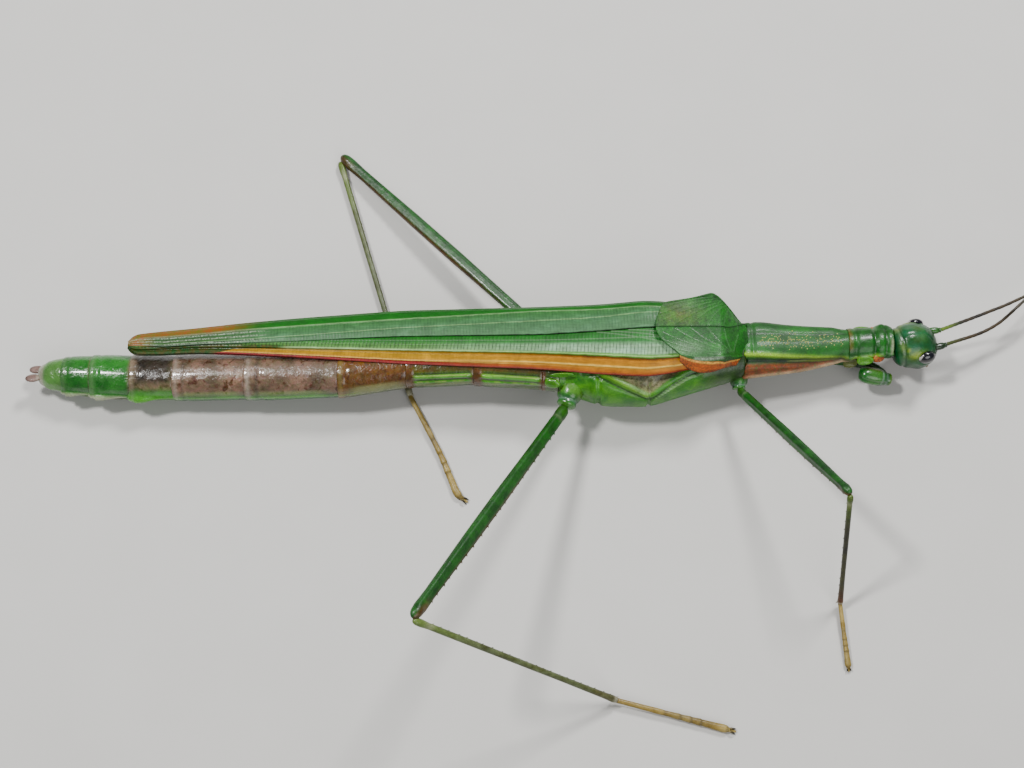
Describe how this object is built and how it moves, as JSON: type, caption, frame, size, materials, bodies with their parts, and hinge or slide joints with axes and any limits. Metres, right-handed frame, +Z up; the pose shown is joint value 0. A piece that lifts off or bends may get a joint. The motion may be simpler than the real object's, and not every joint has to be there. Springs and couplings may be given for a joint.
{
  "type": "stick insect",
  "caption": "Large green winged stick insect resting on the ground with folded wings, raised near legs and a hind leg laid flat.",
  "frame": {"origin": "middle of the footprint of the whole insect, on the floor it rests on", "axes": "+X towards the head, +Y to the insect's left, +Z up"},
  "size_m": [0.1638, 0.0874, 0.0284],
  "materials": {
    "head_shell": "smooth glossy dark green cuticle, satin to wet-looking",
    "eye": "very smooth glossy blue-black",
    "scape": "smooth bright green",
    "feeler": "fine ringed olive brown",
    "mouth": "dull pinkish brown",
    "thorax_shell": "leathery green cuticle with fine pale granules and orange-brown sides",
    "tegmen": "leathery green with fine raised net of veins, orange-red outer flap",
    "hind_wing": "leathery green folded wing with long raised veins and an orange hem",
    "abdomen_shell": "wet-looking, translucent brown to violet middle segments, green ends",
    "cercus": "dull pinkish brown",
    "leg_green": "satin green with ridged edges",
    "shin": "satin olive to dark brown",
    "foot": "dull straw brown, darker at the claws"
  },
  "bodies": {
    "root": {"head": "head_shell", "mouthparts": "mouth", "eye_left": "eye", "palp_left": "mouth", "antenna_base_left": "scape", "antenna_left": "feeler", "eye_right": "eye", "palp_right": "mouth", "antenna_base_right": "scape", "antenna_right": "feeler", "prothorax": "thorax_shell", "mesothorax": "thorax_shell", "metathorax": "thorax_shell", "hindwing_right": "hind_wing", "hindwing_left": "hind_wing", "tegmen_right": "tegmen", "tegmen_left": "tegmen", "abdomen_01": "abdomen_shell", "abdomen_02": "abdomen_shell", "abdomen_03": "abdomen_shell", "abdomen_04": "abdomen_shell", "abdomen_05": "abdomen_shell", "abdomen_06": "abdomen_shell", "abdomen_07": "abdomen_shell", "abdomen_08": "abdomen_shell", "abdomen_09": "abdomen_shell", "abdomen_10": "abdomen_shell", "operculum": "abdomen_shell", "cercus_left": "cercus", "cercus_right": "cercus", "coxa_front_right": "leg_green", "femur_front_right": "leg_green", "tibia_front_right": "shin", "tarsus_front_right": "foot", "coxa_front_left": "leg_green", "femur_front_left": "leg_green", "tibia_front_left": "shin", "tarsus_front_left": "foot", "coxa_mid_right": "leg_green", "femur_mid_right": "leg_green", "tibia_mid_right": "shin", "tarsus_mid_right": "foot", "coxa_mid_left": "leg_green", "femur_mid_left": "leg_green", "tibia_mid_left": "shin", "tarsus_mid_left": "foot", "coxa_hind_right": "leg_green", "femur_hind_right": "leg_green", "tibia_hind_right": "shin", "tarsus_hind_right": "foot", "coxa_hind_left": "leg_green", "femur_hind_left": "leg_green", "tibia_hind_left": "shin", "tarsus_hind_left": "foot"}
  },
  "joints": []
}
